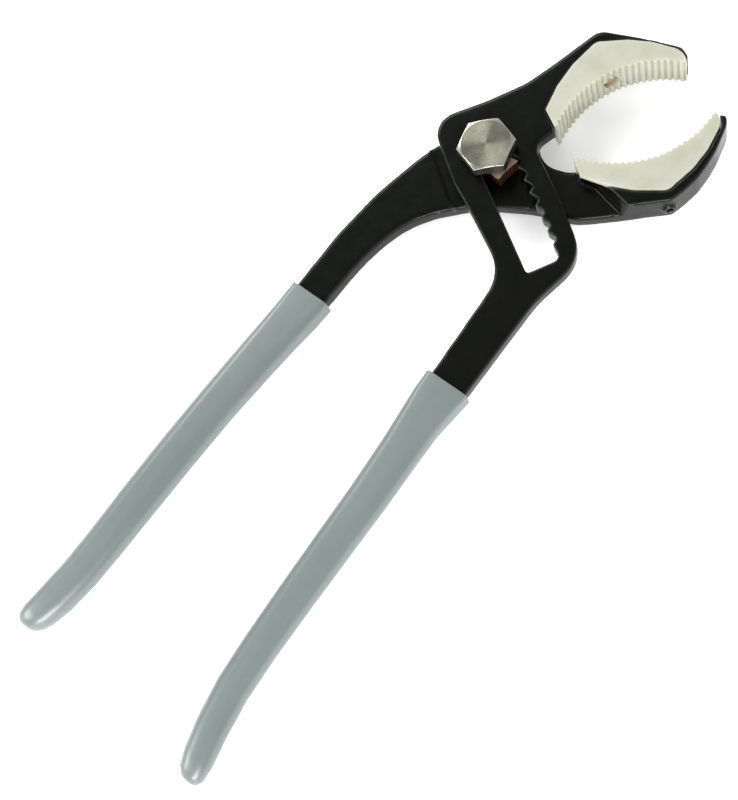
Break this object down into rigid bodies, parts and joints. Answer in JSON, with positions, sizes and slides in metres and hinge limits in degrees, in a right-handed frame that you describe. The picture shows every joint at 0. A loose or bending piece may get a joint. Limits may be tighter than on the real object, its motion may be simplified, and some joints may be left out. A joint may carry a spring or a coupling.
{
  "type": "tongue and groove pliers",
  "caption": "Slip-joint water-pump pliers with a toothed slot, serrated nylon soft jaws, two forged levers and dipped handle grips.",
  "frame": {"origin": "centre of the pivot bolt's end face, at the object's base as it lies", "axes": "+X along the tool to the jaws, halfway between the two handles; +Y to the rear lever's handle side; +Z along the bolt to its head"},
  "size_m": [0.2557, 0.0874, 0.0208],
  "materials": {
    "lever_steel": "satin black coating on forged steel",
    "jaw_nylon": "translucent off-white moulded nylon, serrated",
    "screw_steel": "yellowish plated steel",
    "grip_vinyl": "blue-grey dipped vinyl, satin gloss",
    "bolt_steel": "turned face, plated",
    "block_steel": "tan plated steel"
  },
  "bodies": {
    "rear_lever_body": {"rear_lever": "lever_steel", "lower_soft_jaw": "jaw_nylon", "lower_jaw_screw": "screw_steel", "rear_grip": "grip_vinyl", "pivot_bolt": "bolt_steel", "slide_block": "block_steel", "spring_washer": "bolt_steel", "pivot_nut": "bolt_steel"},
    "washer_body": {"head_washer": "bolt_steel"},
    "front_lever_body": {"front_lever": "lever_steel", "upper_soft_jaw": "jaw_nylon", "upper_jaw_screw": "screw_steel", "front_grip": "grip_vinyl"}
  },
  "joints": [
    {"name": "jaw_hinge", "type": "hinge", "parent": "rear_lever_body", "child": "washer_body", "pos_m": [0, 0, 0.0158], "axis": [0, 0, 1], "range_deg": [-1.5, 18]},
    {"name": "notch_slide", "type": "slide", "parent": "washer_body", "child": "front_lever_body", "axis": [0.518, 0.8554, 0], "range_m": [0, 0.02706]}
  ]
}
